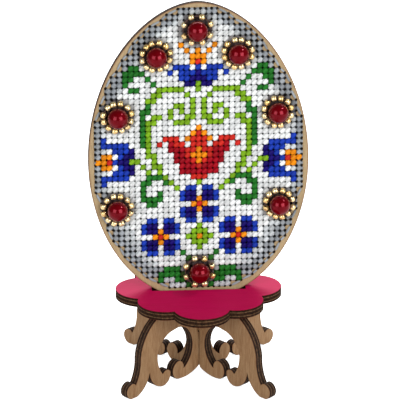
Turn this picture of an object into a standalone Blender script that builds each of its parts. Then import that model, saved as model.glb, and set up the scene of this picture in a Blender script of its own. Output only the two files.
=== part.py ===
"""A cross-stitched plywood egg with glass pearls, standing in a scalloped plate on two crossed scroll legs.

Units are metres, +Z is up and the stitched face looks towards -Y. The origin is on the table, under the
middle of the object. The egg board, its stitches and its beads share one tilted frame, which lifts out of
the plate's slot. In that frame x runs along the stitch columns, z along the rows and -y is the front.
"""

import math

import bmesh
import bpy
from mathutils import Matrix

MM = 0.001

# Plywood and fits
PLY = 3.0 * MM
GLUE_GAP = 0.3 * MM
LAYER_GAP = 0.15 * MM
CELL_INSET = 0.15 * MM
BRIDGE = 0.12 * MM

# Stand
PLATE_TOP = 29.6 * MM
PLATE_YAW = math.radians(3.4)
WIDE_LOBE = (18.0 * MM, 9.2 * MM)
NARROW_LOBE = (16.1 * MM, 9.1 * MM)
SLOT_LENGTH = 30.6 * MM
SLOT_WIDTH = 5.0 * MM
LEG_TOP = PLATE_TOP - PLY - GLUE_GAP
LAP_HEIGHT = 14.5 * MM
LAP_WIDTH = PLY + 2 * GLUE_GAP

# Right half of a leg panel in millimetres: corners from the bottom of the middle to the top edge, and a point
# on the arc between each corner and the next (None where the edge is straight)
LEG_CORNERS = [
    (0.0, 3.2), (11.0, 0.45), (11.0, 6.8), (8.4, 3.6), (5.9, 16.0), (12.4, 18.5), (20.2, 11.6), (17.9, 4.5),
    (14.5, 4.6), (19.0, 0.3), (23.8, 7.0), (29.6, 0.0), (32.0, 0.0), (32.4, 5.1), (30.1, 4.4), (27.9, 13.0),
    (16.0, LEG_TOP / MM),
]
LEG_BULGES = [
    (6.2, 0.45), (13.4, 3.9), (8.9, 5.9), (4.4, 9.6), (8.3, 18.2), (18.2, 15.8), (19.7, 7.9), (16.1, 5.4),
    (15.6, 0.9), (22.4, 2.6), (26.0, 2.4), None, (34.2, 2.6), (31.1, 5.2), (28.5, 8.0), (24.6, 21.0),
]

# Egg board: the outline is counted in stitch pitches from the middle stitch of the chart
PITCH = 25.4 * MM / 14
WIDEST_ROW = -7.9
WIDEST_HALF = 19.75
TOP_SPAN = 28.7
TOP_POWER = 0.56
LOWER_SPAN = 25.7
LOWER_POWER = 0.48
BASE_ROW = 17.15
PLATE_ROW = 15.75
EGG_LEAN = math.radians(7.0)
EGG_YAW = math.radians(5.4)
EGG_TWIST = math.radians(0.15)
EGG_SHIFT = 0.35 * MM

# Stitches and beads
FRONT_LAYER = 0.5 * MM
BACK_LAYER = 0.35 * MM
PEARL_RADIUS = 3.3 * MM
PEARL_BORE = 0.5 * MM
RING_RADIUS = 4.5 * MM
RING_BEADS = 12
SPARSE_RINGS = {"top": 8, "bottom": 8}
BEAD_RADIUS = 0.95 * MM
BEAD_HALF_LENGTH = 0.65 * MM
BEAD_THREAD = 0.35 * MM
PEARL_PLACES = [
    ("top", -0.2, -31.8),
    ("shoulder_left", -7.5, -27.2),
    ("shoulder_right", 7.1, -27.4),
    ("flank_left", -14.5, -16.4),
    ("flank_right", 14.1, -16.6),
    ("side_left", -14.8, 0.5),
    ("side_right", 14.3, 0.3),
    ("bottom", -0.2, 12.4),
]

# Chart: stitched half width of the board for each run of rows, first row to last row
STITCHED_ROWS = [
    (-35, -35, 3), (-34, -34, 5), (-33, -33, 6), (-32, -32, 8), (-31, -31, 9), (-30, -30, 10),
    (-29, -28, 11), (-27, -27, 12), (-26, -25, 13), (-24, -24, 14), (-23, -22, 15), (-21, -19, 16),
    (-18, -16, 17), (-15, -3, 18), (-2, 1, 17), (2, 4, 16), (5, 6, 15), (7, 7, 14), (8, 9, 13),
    (10, 10, 12), (11, 11, 11), (12, 12, 10), (13, 13, 9), (14, 14, 7), (15, 15, 5),
]
GROUND = "ground_stitches"
BORDER = "border_stitches"
BORDER_NAMES = ("border_upper", "border_lower_left", "border_lower_right", "border_base")
BORDER_COLUMNS = 2
BORDER_TOP_ROW = -34
BORDER_BASE_ROW = 12

# Chart: motifs on the middle line, row to half width
TULIP = {-14: 0, -13: 1, -12: 6, -11: 7, -10: 5, -9: 4, -8: 4, -7: 3, -6: 3, -5: 1, -4: 0}
SPRAY = {-29: 3, -28: 2, -27: 1, -26: 1, -25: 4, -24: 5, -23: 3, -22: 2, -21: 0}
DIAMOND = {4: 0, 5: 1, 6: 2, 7: 1, 8: 0}
CORNFLOWER = {-3: 2, -2: 3, -1: 3, 0: 3, 1: 3, 2: 3, 3: 2}

# Chart: motifs of the left half, row to runs of columns; the right half mirrors them
SIDE_FLOWER = {
    -12: [(-17, -17)], -11: [(-17, -13)], -10: [(-16, -12)], -9: [(-17, -12)], -8: [(-18, -11)],
    -7: [(-17, -12)], -6: [(-16, -12)], -5: [(-17, -13)], -4: [(-17, -17)],
}
UPPER_LEAF = {-25: [(-12, -11)], -24: [(-13, -10)], -23: [(-13, -9)], -22: [(-13, -8)], -21: [(-12, -11)]}
LOWER_LEAF = {12: [(-6, -4)], 13: [(-7, -3)], 14: [(-7, -3)], 15: [(-5, -2)]}
SPRIG = {9: [(-3, -3)], 10: [(-2, -2)]}
SCROLL = {
    -21: [(-7, -3)],
    -20: [(-8, -7), (-2, -2)],
    -19: [(-9, -8), (-1, -1)],
    -18: [(-9, -9), (-4, -3), (-1, -1)],
    -17: [(-10, -9), (-5, -3), (-1, -1)],
    -16: [(-10, -7), (-5, -1)],
    -15: [(-10, -8), (-4, -2)],
    -14: [(-10, -9)], -13: [(-10, -9)], -12: [(-10, -9)], -11: [(-10, -9)],
    -10: [(-9, -9)],
    -9: [(-9, -8)],
    -8: [(-8, -8)],
    -7: [(-10, -10), (-8, -7)],
    -6: [(-9, -7)],
    -5: [(-9, -6)],
    -4: [(-10, -9), (-6, -5)],
    -3: [(-10, -10), (-4, -4)],
    -2: [(-10, -10), (-7, -7)],
    -1: [(-10, -7)],
    0: [(-9, -8)],
}

# Colours, linear
PLYWOOD = ((0.42, 0.28, 0.15, 1.0), 0.7, 0.0)
PLATE_PAINT = ((0.46, 0.005, 0.08, 1.0), 0.5, 0.0)
PEARL_RED = ((0.28, 0.002, 0.006, 1.0), 0.15, 0.0)
GOLD = ((0.75, 0.50, 0.22, 1.0), 0.3, 0.6)
WHITE_FLOSS = ((0.85, 0.86, 0.88, 1.0), 0.6, 0.0)
GREY_FLOSS = ((0.36, 0.38, 0.41, 1.0), 0.6, 0.0)
BLUE_FLOSS = ((0.03, 0.09, 0.55, 1.0), 0.6, 0.0)
RED_FLOSS = ((0.42, 0.01, 0.02, 1.0), 0.6, 0.0)
GREEN_FLOSS = ((0.12, 0.36, 0.04, 1.0), 0.6, 0.0)


def clear_scene():
    for item in list(bpy.data.objects):
        bpy.data.objects.remove(item, do_unlink=True)


def material(name, finish):
    colour, roughness, metallic = finish
    made = bpy.data.materials.new(name)
    made.use_nodes = True
    shader = made.node_tree.nodes["Principled BSDF"]
    shader.inputs["Base Color"].default_value = colour
    shader.inputs["Roughness"].default_value = roughness
    shader.inputs["Metallic"].default_value = metallic
    return made


def add_object(name, bm, finish, parent=None):
    bmesh.ops.recalc_face_normals(bm, faces=bm.faces)
    mesh = bpy.data.meshes.new(name)
    bm.to_mesh(mesh)
    bm.free()
    made = bpy.data.objects.new(name, mesh)
    bpy.context.collection.objects.link(made)
    made.data.materials.append(material(name, finish))
    made.parent = parent
    return made


def add_empty(name, matrix):
    made = bpy.data.objects.new(name, None)
    made.matrix_world = matrix
    bpy.context.collection.objects.link(made)
    return made


def arc(start, via, end, step=math.radians(16)):
    """Points of the arc from start through via to end, without its last point."""
    (ax, ay), (bx, by), (cx, cy) = start, via, end
    cross = 2 * (ax * (by - cy) + bx * (cy - ay) + cx * (ay - by))
    squares = [x * x + y * y for x, y in (start, via, end)]
    mx = (squares[0] * (by - cy) + squares[1] * (cy - ay) + squares[2] * (ay - by)) / cross
    my = (squares[0] * (cx - bx) + squares[1] * (ax - cx) + squares[2] * (bx - ax)) / cross
    angles = [math.atan2(y - my, x - mx) for x, y in (start, via, end)]
    turn = 1 if cross > 0 else -1
    sweep = turn * ((turn * (angles[2] - angles[0])) % (2 * math.pi))
    count = max(2, math.ceil(abs(sweep) / step))
    radius = math.hypot(ax - mx, ay - my)
    turns = [angles[0] + sweep * i / count for i in range(count)]
    return [(mx + radius * math.cos(t), my + radius * math.sin(t)) for t in turns]


def slab(loops, low, high, upright):
    """A flat sheet between two heights, bounded by loops; upright sheets stand with their face to -Y."""
    bm = bmesh.new()
    for loop in loops:
        if upright:
            corners = [bm.verts.new((a, low, b)) for a, b in loop]
        else:
            corners = [bm.verts.new((a, b, low)) for a, b in loop]
        for i, corner in enumerate(corners):
            bm.edges.new((corners[i - 1], corner))
    bmesh.ops.triangle_fill(bm, use_beauty=True, use_dissolve=False, edges=bm.edges[:])
    grown = bmesh.ops.extrude_face_region(bm, geom=bm.faces[:])
    moved = [item for item in grown["geom"] if isinstance(item, bmesh.types.BMVert)]
    rise = high - low
    bmesh.ops.translate(bm, verts=moved, vec=(0, rise, 0) if upright else (0, 0, rise))
    return bm


def lathe(profile, turns, axis):
    """A closed ring-shaped body: a loop of (radius, height) points turned round an axis."""
    bm = bmesh.new()
    rings = []
    for k in range(turns):
        angle = 2 * math.pi * k / turns
        c, s = math.cos(angle), math.sin(angle)
        places = [(r * c, r * s, h) if axis == "Z" else (h, r * c, r * s) for r, h in profile]
        rings.append([bm.verts.new(place) for place in places])
    close_rings(bm, rings)
    return bm


def close_rings(bm, rings):
    for k, ring in enumerate(rings):
        last = rings[k - 1]
        for i in range(len(ring)):
            bm.faces.new((last[i - 1], last[i], ring[i], ring[i - 1]))


# ---------------------------------------------------------------- stand


def plate_outline():
    """Eight lobes, wide and narrow in turn, whose arcs meet in notches."""
    wide_out, wide_r = WIDE_LOBE
    narrow_out, narrow_r = NARROW_LOBE
    turn = math.pi / 4
    nx, ny = narrow_out * math.cos(turn), narrow_out * math.sin(turn)
    gap = math.hypot(nx - wide_out, ny)
    along = (gap * gap + wide_r * wide_r - narrow_r * narrow_r) / (2 * gap)
    off = math.sqrt(wide_r * wide_r - along * along)
    ux, uy = (nx - wide_out) / gap, ny / gap
    notch = (wide_out + along * ux + off * uy, along * uy - off * ux)
    notch_radius = math.hypot(*notch)
    notch_angle = math.atan2(notch[1], notch[0])
    points = []
    for k in range(4):
        middle = k * math.pi / 2
        stops = [
            (notch_radius, middle - notch_angle),
            (wide_out + wide_r, middle),
            (notch_radius, middle + notch_angle),
            (narrow_out + narrow_r, middle + turn),
            (notch_radius, middle + math.pi / 2 - notch_angle),
        ]
        xy = [(r * math.cos(a), r * math.sin(a)) for r, a in stops]
        points += arc(xy[0], xy[1], xy[2]) + arc(xy[2], xy[3], xy[4])
    return points


def make_plate():
    half_x, half_y = SLOT_LENGTH / 2, SLOT_WIDTH / 2
    slot = [(-half_x, -half_y), (half_x, -half_y), (half_x, half_y), (-half_x, half_y)]
    bm = slab([plate_outline(), slot], PLATE_TOP - PLY, PLATE_TOP, upright=False)
    plate = add_object("scalloped_plate", bm, PLATE_PAINT)
    plate.rotation_euler.z = PLATE_YAW


def leg_half_outline():
    """Right half of a leg panel, from the bottom of its middle to its top edge."""
    points = []
    for start, bulge, end in zip(LEG_CORNERS, LEG_BULGES, LEG_CORNERS[1:]):
        points += arc(start, bulge, end) if bulge else [start]
    points.append(LEG_CORNERS[-1])
    return [(u * MM, z * MM) for u, z in points]


def make_leg_panel(name, turn, slot_from_top):
    """One full-width panel; its half of the cross lap opens upwards or downwards."""
    half = leg_half_outline()
    lap = LAP_WIDTH / 2
    if slot_from_top:
        right = half + [(lap, LEG_TOP), (lap, LAP_HEIGHT)]
    else:
        open_edge = [point for point in half if point[0] > lap]
        right = [(lap, LAP_HEIGHT + GLUE_GAP), (lap, half[0][1] - GLUE_GAP)] + open_edge
    left = [(-u, z) for u, z in reversed(right) if u > 0]
    panel = add_object(name, slab([right + left], -PLY / 2, PLY / 2, upright=True), PLYWOOD)
    panel.rotation_euler.z = turn


# ---------------------------------------------------------------- egg board


def egg_half_width(row):
    span, power = (LOWER_SPAN, LOWER_POWER) if row > WIDEST_ROW else (TOP_SPAN, TOP_POWER)
    depth = (row - WIDEST_ROW) / span
    return WIDEST_HALF * (1 - depth * depth) ** power


def egg_outline():
    """Apex to base down the right side and back up the left, evenly spaced in angle."""
    right = [(0.0, WIDEST_ROW - TOP_SPAN)]
    for k in range(1, 20):
        row = WIDEST_ROW - TOP_SPAN * math.cos(math.pi / 2 * k / 19)
        right.append((egg_half_width(row), row))
    base_angle = math.asin((BASE_ROW - WIDEST_ROW) / LOWER_SPAN)
    for k in range(1, 15):
        row = WIDEST_ROW + LOWER_SPAN * math.sin(base_angle * k / 14)
        right.append((egg_half_width(row), row))
    left = [(-c, r) for c, r in reversed(right) if c > 0]
    return [(c * PITCH, -r * PITCH) for c, r in right + left]


def make_egg_frame():
    pivot = Matrix.Translation((EGG_SHIFT, PLY / 2 * math.tan(EGG_LEAN), PLATE_TOP))
    turn = Matrix.Rotation(EGG_YAW, 4, "Z") @ Matrix.Rotation(-EGG_LEAN, 4, "X")
    twist = Matrix.Rotation(EGG_TWIST, 4, "Y")
    return add_empty("egg_frame", pivot @ turn @ twist @ Matrix.Translation((0, 0, PLATE_ROW * PITCH)))


# ---------------------------------------------------------------- stitches


def cells(rows, mirrored=False, centre=(0, 0)):
    """Chart cells (column, row) of a motif given as row to half width, or row to runs of columns."""
    found = set()
    for row, runs in rows.items():
        for first, last in [(-runs, runs)] if isinstance(runs, int) else runs:
            for column in range(first, last + 1):
                found.add((centre[0] + (-column if mirrored else column), centre[1] + row))
    return found


def stitched_half_widths():
    return {row: half for first, last, half in STITCHED_ROWS for row in range(first, last + 1)}


def is_border(column, row, half):
    return abs(column) > half - BORDER_COLUMNS or row <= BORDER_TOP_ROW or row >= BORDER_BASE_ROW


def chart_owners():
    """The node that each stitched cell belongs to, keyed by (column, steps up from the middle row)."""
    regions = {
        "tulip": cells(TULIP),
        "top_spray": cells(SPRAY),
        "leaf_diamond": cells(DIAMOND),
        "cornflower_middle": cells(CORNFLOWER),
    }
    for side, mirrored, out in (("left", False, -7), ("right", True, 7)):
        regions["cornflower_" + side] = cells(CORNFLOWER, centre=(out, 6)) | cells(SPRIG, mirrored)
        regions["side_flower_" + side] = cells(SIDE_FLOWER, mirrored)
        regions["upper_leaf_" + side] = cells(UPPER_LEAF, mirrored)
        regions["lower_leaf_" + side] = cells(LOWER_LEAF, mirrored)
        regions["scroll_" + side] = cells(SCROLL, mirrored)
    owner = {(column, -row): name for name, members in regions.items() for column, row in members}
    for row, half in stitched_half_widths().items():
        for column in range(-half, half + 1):
            place = BORDER if is_border(column, row, half) else GROUND
            owner.setdefault((column, -row), place)
    return owner


def corner_cells(i, j):
    """The cells round the lower left corner of cell (i, j): two on the rising diagonal, two on the other."""
    return (i - 1, j - 1), (i, j), (i, j - 1), (i - 1, j)


def bridge_owner(owner, i, j):
    """The node that is carried across a corner where its cells meet only diagonally; motifs go first."""
    a, b, c, d = (owner.get(cell) for cell in corner_cells(i, j))
    meeting = [name for name, one, other in ((a, c, d), (c, a, b)) if name and name not in (one, other)]
    crossing = [name for name in meeting if (name == a == b) or (name == c == d)]
    return min(crossing, key=lambda name: (name in (BORDER, GROUND), name), default=None)


def connected_groups(owner, name):
    """A node's cells in groups that hold together, the largest first."""
    left = {cell for cell, who in owner.items() if who == name}
    groups = []
    while left:
        stack = [left.pop()]
        group = set(stack)
        while stack:
            i, j = stack.pop()
            near = [(i + 1, j), (i - 1, j), (i, j + 1), (i, j - 1)]
            for corner in ((i, j), (i + 1, j), (i, j + 1), (i + 1, j + 1)):
                if bridge_owner(owner, *corner) == name:
                    near += corner_cells(*corner)
            for cell in near:
                if cell in left:
                    left.remove(cell)
                    group.add(cell)
                    stack.append(cell)
        groups.append(group)
    return sorted(groups, key=lambda group: (-len(group), sorted(group)))


def boundary_steps(members):
    """Unit steps (corner, heading) round a set of cells, with the cells on the left."""
    steps = set()
    for i, j in members:
        sides = [((i, j), (1, 0)), ((i + 1, j), (0, 1)), ((i + 1, j + 1), (-1, 0)), ((i, j + 1), (0, -1))]
        for corner, heading in sides:
            beyond = (i + heading[1], j - heading[0])
            if beyond not in members:
                steps.add((corner, heading))
    return steps


def region_loops(owner, name, members):
    """Outlines of a group of cells in metres, kept a little inside the cells."""
    steps = boundary_steps(members)
    left_over = set(steps)
    loops = []
    while left_over:
        step = first = min(left_over)
        points = []
        while not points or step != first:
            left_over.discard(step)
            corner, before = step
            corner = (corner[0] + before[0], corner[1] + before[1])
            to_right, to_left = (before[1], -before[0]), (-before[1], before[0])
            crosses = bridge_owner(owner, *corner) == name
            order = [to_right, to_left, before] if crosses else [to_left, to_right, before]
            after = next(turn for turn in order if (corner, turn) in steps)
            points += drawn_in(corner, before, after, crosses and after == to_right)
            step = (corner, after)
            if step == first:
                break
        loops.append(points)
    return loops


def drawn_in(corner, before, after, crosses):
    """An outline's points at one corner: none where it runs straight, two where it cuts across a bridge."""
    if before == after:
        return []
    x, z = (corner[0] - 0.5) * PITCH, (corner[1] - 0.5) * PITCH
    in0 = (-before[1] * CELL_INSET, before[0] * CELL_INSET)
    in1 = (-after[1] * CELL_INSET, after[0] * CELL_INSET)
    if not crosses:
        return [(x + in0[0] + in1[0], z + in0[1] + in1[1])]
    back = CELL_INSET + BRIDGE
    return [
        (x - before[0] * back + in0[0], z - before[1] * back + in0[1]),
        (x + after[0] * back + in1[0], z + after[1] * back + in1[1]),
    ]


def make_stitches(frame):
    owner = chart_owners()
    front = -PLY / 2 - LAYER_GAP
    for name in sorted(set(owner.values())):
        labels = BORDER_NAMES if name == BORDER else (name,)
        for label, group in zip(labels, connected_groups(owner, name), strict=True):
            loops = region_loops(owner, name, group)
            bm = slab(loops, front - FRONT_LAYER, front, upright=True)
            add_object(label, bm, floss_of(name), frame)
    everywhere = {cell: "reverse_stitches" for cell in owner}
    loops = region_loops(everywhere, "reverse_stitches", set(owner))
    back = PLY / 2 + LAYER_GAP
    add_object("reverse_stitches", slab(loops, back, back + BACK_LAYER, upright=True), GREY_FLOSS, frame)


def floss_of(name):
    kind = name.split("_")[0]
    by_kind = {
        "ground": WHITE_FLOSS,
        "border": GREY_FLOSS,
        "tulip": RED_FLOSS,
        "cornflower": BLUE_FLOSS,
        "top": BLUE_FLOSS,
        "side": BLUE_FLOSS,
    }
    return by_kind.get(kind, GREEN_FLOSS)


# ---------------------------------------------------------------- beads


def pearl_body():
    """A pearl with its string hole along x."""
    start = math.asin(PEARL_BORE / PEARL_RADIUS)
    steps = 9
    profile = []
    for k in range(steps + 1):
        angle = start + (math.pi - 2 * start) * k / steps
        profile.append((PEARL_RADIUS * math.sin(angle), PEARL_RADIUS * math.cos(angle)))
    return lathe(profile, 16, "X")


def bead_ring_body(count):
    """Beads strung on a thread and closed into a ring that lies flat, facing -y."""
    bm = bmesh.new()
    rings = []
    shoulder = 0.72 * BEAD_RADIUS
    reach = BEAD_HALF_LENGTH / (2 * math.pi * RING_RADIUS / count)
    stations = [(-0.5, BEAD_THREAD), (-reach, shoulder), (0.0, BEAD_RADIUS), (reach, shoulder)]
    for bead in range(count):
        for place, thick in stations:
            angle = 2 * math.pi * (bead + 0.5 + place) / count
            ring = []
            for side in range(6):
                turn = 2 * math.pi * side / 6
                out = RING_RADIUS + thick * math.cos(turn)
                corner = (out * math.cos(angle), thick * math.sin(turn), out * math.sin(angle))
                ring.append(bm.verts.new(corner))
            rings.append(ring)
    close_rings(bm, rings)
    return bm


def make_beads(frame):
    stitch_face = -PLY / 2 - 2 * LAYER_GAP - FRONT_LAYER
    for place, column, row in PEARL_PLACES:
        x, z = column * PITCH, -row * PITCH
        pearl = add_object("pearl_" + place, pearl_body(), PEARL_RED, frame)
        pearl.location = (x, stitch_face - PEARL_RADIUS, z)
        count = SPARSE_RINGS.get(place, RING_BEADS)
        ring = add_object("bead_ring_" + place, bead_ring_body(count), GOLD, frame)
        ring.location = (x, stitch_face - BEAD_RADIUS, z)
        for piece in (pearl, ring):
            piece.data.shade_smooth()


# ---------------------------------------------------------------- assembly


def main():
    clear_scene()
    make_plate()
    make_leg_panel("leg_panel_a", math.radians(45), slot_from_top=True)
    make_leg_panel("leg_panel_b", math.radians(-45), slot_from_top=False)
    frame = make_egg_frame()
    add_object("egg_board", slab([egg_outline()], -PLY / 2, PLY / 2, upright=True), PLYWOOD, frame)
    make_stitches(frame)
    make_beads(frame)


main()
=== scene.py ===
"""Looks of the cross-stitched egg: drilled plywood, floss stitches, pearls, seed beads and a scroll stand."""

import math

import bmesh
import bpy
import numpy as np
from mathutils import Matrix, Vector
from mathutils.geometry import delaunay_2d_cdt


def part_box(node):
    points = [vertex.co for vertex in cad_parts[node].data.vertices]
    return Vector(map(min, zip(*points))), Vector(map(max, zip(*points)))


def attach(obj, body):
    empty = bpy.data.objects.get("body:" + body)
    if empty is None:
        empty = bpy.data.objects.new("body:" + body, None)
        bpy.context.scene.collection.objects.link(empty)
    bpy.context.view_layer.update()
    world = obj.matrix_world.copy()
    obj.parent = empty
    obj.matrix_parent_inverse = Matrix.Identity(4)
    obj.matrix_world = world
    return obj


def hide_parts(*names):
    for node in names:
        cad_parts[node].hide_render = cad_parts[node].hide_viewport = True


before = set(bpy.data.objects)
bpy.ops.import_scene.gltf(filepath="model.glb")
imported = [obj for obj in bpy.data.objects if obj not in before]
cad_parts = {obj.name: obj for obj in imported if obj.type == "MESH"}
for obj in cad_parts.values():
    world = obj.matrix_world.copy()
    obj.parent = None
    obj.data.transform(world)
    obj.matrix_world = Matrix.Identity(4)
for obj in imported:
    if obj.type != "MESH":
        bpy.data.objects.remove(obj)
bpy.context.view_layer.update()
rng = np.random.default_rng(14)

MM = 0.001

# ---- sizes and places that the frame's pieces have too, in metres and radians
PLY = 3.0 * MM
PLATE_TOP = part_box("scalloped_plate")[1].z
PLATE_YAW = math.radians(3.4)
WIDE_LOBE = (18.0 * MM, 9.2 * MM)
NARROW_LOBE = (16.1 * MM, 9.1 * MM)
SLOT_LENGTH = 30.6 * MM
SLOT_WIDTH = 5.0 * MM
LAP_HEIGHT = 14.5 * MM
LAP_WIDTH = 3.6 * MM
LAP_PLAY = 0.3 * MM
EGG_LEAN = math.radians(7.0)
EGG_YAW = math.radians(5.4)
EGG_TWIST = math.radians(0.15)
EGG_SHIFT = 0.35 * MM
PITCH = 25.4 * MM / 14
PLATE_ROW = 15.75

EGG_FRAME = (
    Matrix.Translation((EGG_SHIFT, PLY / 2 * math.tan(EGG_LEAN), PLATE_TOP))
    @ Matrix.Rotation(EGG_YAW, 4, "Z")
    @ Matrix.Rotation(-EGG_LEAN, 4, "X")
    @ Matrix.Rotation(EGG_TWIST, 4, "Y")
    @ Matrix.Translation((0, 0, PLATE_ROW * PITCH))
)

# ---- right half of a leg panel in millimetres: corners from the bottom of the middle to the top edge, and a
# point on the arc between each corner and the next (None where the edge is straight)
LEG_TOP = PLATE_TOP / MM - 3.02
LEG_CORNERS = [
    (0.0, 3.2), (11.0, 0.45), (11.0, 6.8), (8.4, 3.6), (5.9, 16.0), (12.4, 18.5), (20.2, 11.6), (17.9, 4.5),
    (14.5, 4.6), (19.0, 0.3), (23.8, 7.0), (29.6, 0.0), (32.0, 0.0), (32.4, 5.1), (30.1, 4.4), (27.9, 13.0),
    (16.0, LEG_TOP),
]
LEG_BULGES = [
    (6.2, 0.45), (13.4, 3.9), (8.9, 5.9), (4.4, 9.6), (8.3, 18.2), (18.2, 15.8), (19.7, 7.9), (16.1, 5.4),
    (15.6, 0.9), (22.4, 2.6), (26.0, 2.4), None, (34.2, 2.6), (31.1, 5.2), (28.5, 8.0), (24.6, 21.0),
]

# ---- egg outline, counted in stitches from the chart's middle stitch
WIDEST_ROW, WIDEST_HALF = -7.9, 19.75
TOP_SPAN, TOP_POWER = 28.7, 0.56
LOWER_SPAN, LOWER_POWER = 25.7, 0.48
BASE_ROW = 17.15
HOLE_RADIUS = 0.38 * MM
HOLE_SIDES = 8
HOLE_SIZE_CHANCE = (0.92, 1.0)

# ---- laser cuts: steps from the cut wall to the open face, as (step in, depth below the face, char)
RIM = [(0.0, 0.12 * MM, 1.0), (0.07 * MM, 0.02 * MM, 0.7), (0.14 * MM, 0.0, 0.3)]
HOLE_RIM = [(0.0, 0.0, 1.0), (0.08 * MM, 0.0, 0.95), (0.14 * MM, 0.0, 0.0)]
# round holes that stitches surround, the face stays dark all over: partly laser char, partly painted shade
# under the stitches
CHARRED_AND_SHADED_HOLE_RIM = [(0.0, 0.0, 1.0), (0.14 * MM, 0.0, 0.9)]
BROWNED_BAND = 0.6 * MM
LEAST_BAND = 0.02 * MM
BAND_TO_HOLE = 0.08 * MM

# ---- plywood, as it is seen: light and dark grain
EGG_WOOD = ((0.67, 0.58, 0.44), (0.58, 0.49, 0.36))
LEG_WOOD = ((0.76, 0.65, 0.49), (0.57, 0.45, 0.31))
PLATE_WOOD = ((0.66, 0.53, 0.40), (0.54, 0.42, 0.30))

# ---- the plate's stain, as it is seen: light, dark and grazed
PLATE_PAINT = ((0.88, 0.02, 0.40), (0.82, 0.01, 0.36), (0.92, 0.08, 0.46))

# ---- laser-cut edges, as they are seen, and how far the two glue seams lie from the sheet's middle
BROWNED_WOOD = (0.40, 0.22, 0.10)
BROWNED_PAINT = (0.50, 0.02, 0.10)
CHARRED = ((0.04, 0.01, 0.0), (0.22, 0.13, 0.07))
SEAM = (0.48, 0.37, 0.27)
SEAM_OUT = 0.62 * MM
SEAM_WOBBLE = 0.35 * MM

# ---- fineness of each texture, in noise cells a metre
BROAD_GRAIN, FINE_GRAIN = 700.0, 3200.0
WOOD_PATCHES, WOOD_SPECKS = 90.0, 5200.0
PAINT_GRAZES = 2400.0
SOOT, SEAM_WAVES = 1500.0, 260.0
FLOSS_HAIRS, THREAD_HAIRS = 9000.0, 5000.0
PEARL_CLOUDS, BEAD_SPECKS = 420.0, 900.0

# ---- stitches: how deep their ends dip into the holes, and how far the lower, upper and reverse legs lift
DIP = 0.5 * MM
UNDER_LIFT = 0.22 * MM
OVER_LIFT = 0.58 * MM
BACK_LIFT = 0.24 * MM

# ---- stations along the first half of a leg, as (place along, share of the lift, half width and half
# thickness in millimetres); the second half mirrors them. The border's legs stay narrow near their holes
OPEN_LEG = [
    (0.00, 0.00, 0.14, 0.16), (0.07, 0.40, 0.18, 0.19), (0.12, 0.75, 0.30, 0.23),
    (0.17, 0.92, 0.47, 0.27), (0.24, 1.00, 0.68, 0.29), (0.35, 1.00, 0.78, 0.29),
]
FULL_LEG = [
    (0.00, 0.00, 0.18, 0.16), (0.05, 0.40, 0.22, 0.19), (0.10, 0.80, 0.38, 0.24),
    (0.16, 0.95, 0.58, 0.27), (0.27, 1.00, 0.77, 0.28),
]
BACK_LEG = [(0.00, 0.00, 0.18, 0.18), (0.15, 0.95, 0.28, 0.24)]

# ---- width of the edge stitches and of the upper legs, as shares of a lower leg's, and how uneven they are
EDGE_WIDTH = 0.5
OVER_WIDTH = 0.86
WIDTH_CHANCE = (0.92, 1.06)
HOLE_JITTER = 0.05 * MM

# ---- how far the bars on the back stand in from their column's holes, and the most legs that one mesh holds
BACK_SPREAD = 0.24 * MM
MOST_LEGS = 1200

# ---- pearls and beads, which lie on stitches that stand STITCH_DEPTH off the board; CHANCE values are the
# spread of the beads' sizes and places
STITCH_DEPTH = 0.8 * MM
PEARL_RADIUS = 3.3 * MM
PEARL_BORE = 0.5 * MM
PEARL_OUT = PLY / 2 + STITCH_DEPTH + PEARL_RADIUS
RING_RADIUS = 4.5 * MM
RING_BEADS = 12
SPARSE_RINGS = {"top": 8, "bottom": 8}
BEAD_RADIUS = 1.0 * MM
BEAD_OUT = PLY / 2 + STITCH_DEPTH + BEAD_RADIUS
BEAD_LENGTH_SHARE = 0.92
BEAD_HOLE_SHARE = 0.34
BEAD_SIZE_CHANCE = (0.94, 1.03)
BEAD_TURN_CHANCE = 0.03
BEAD_OUT_CHANCE = 0.08 * MM
BEAD_UP_CHANCE = 0.15 * MM
BEAD_ROLL_CHANCE = 0.25
BEAD_TILT_CHANCE = 0.18
BEAD_THREAD_RADIUS = 0.2 * MM

# ---- pearls by name: column and row of the stitch behind each one's middle
PEARL_PLACES = {
    "top": (-0.2, -31.8),
    "shoulder_left": (-7.5, -27.2),
    "shoulder_right": (7.1, -27.4),
    "flank_left": (-14.5, -16.4),
    "flank_right": (14.1, -16.6),
    "side_left": (-14.8, 0.5),
    "side_right": (14.3, 0.3),
    "bottom": (-0.2, 12.4),
}

# ---- studio
AIM = Vector((0.0005, 0.0, 0.0601))
CAMERA_AZIMUTH = 0.0
CAMERA_ELEVATION = 21.3
CAMERA_DISTANCE = 1.062
CAMERA_LENS = 294.7
FLOOR_LEVEL = -0.05 * MM
FLOOR_REACH = 20.0
FLOOR_GLOW = 0.85
WORLD_LIGHT = 0.14
WORLD_SEEN = 0.95

# ---- area lights: name, azimuth, elevation, distance, width and height, power in watts
LIGHTS = [
    ("softbox", -37, CAMERA_ELEVATION, 1.4, (0.9, 0.9), 12.0),
    ("softbox", 37, CAMERA_ELEVATION, 1.4, (0.9, 0.9), 16.5),
    ("spark_light", 92, 54, 1.2, (0.12, 0.12), 3.0),
    ("back_softbox", 180, 34, 1.4, (1.4, 0.6), 26.0),
]

# ---- slot names for the kinds of stitch piece, by the first word of their node's name
FLOSS_SLOTS = {
    "ground": "white_floss",
    "border": "grey_floss",
    "tulip": "red_floss",
    "top": "blue_floss",
    "cornflower": "blue_floss",
    "side": "blue_floss",
    "leaf": "green_floss",
    "upper": "green_floss",
    "lower": "green_floss",
    "scroll": "green_floss",
}

# ---- how far the shade of a hole reaches over the stitches that end in it
HOLE_SHADE = {"white": 0.41 * MM, "light_grey": 0.58 * MM, "grey": 0.76 * MM}
DEEP_SHADE = 0.50 * MM

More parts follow.
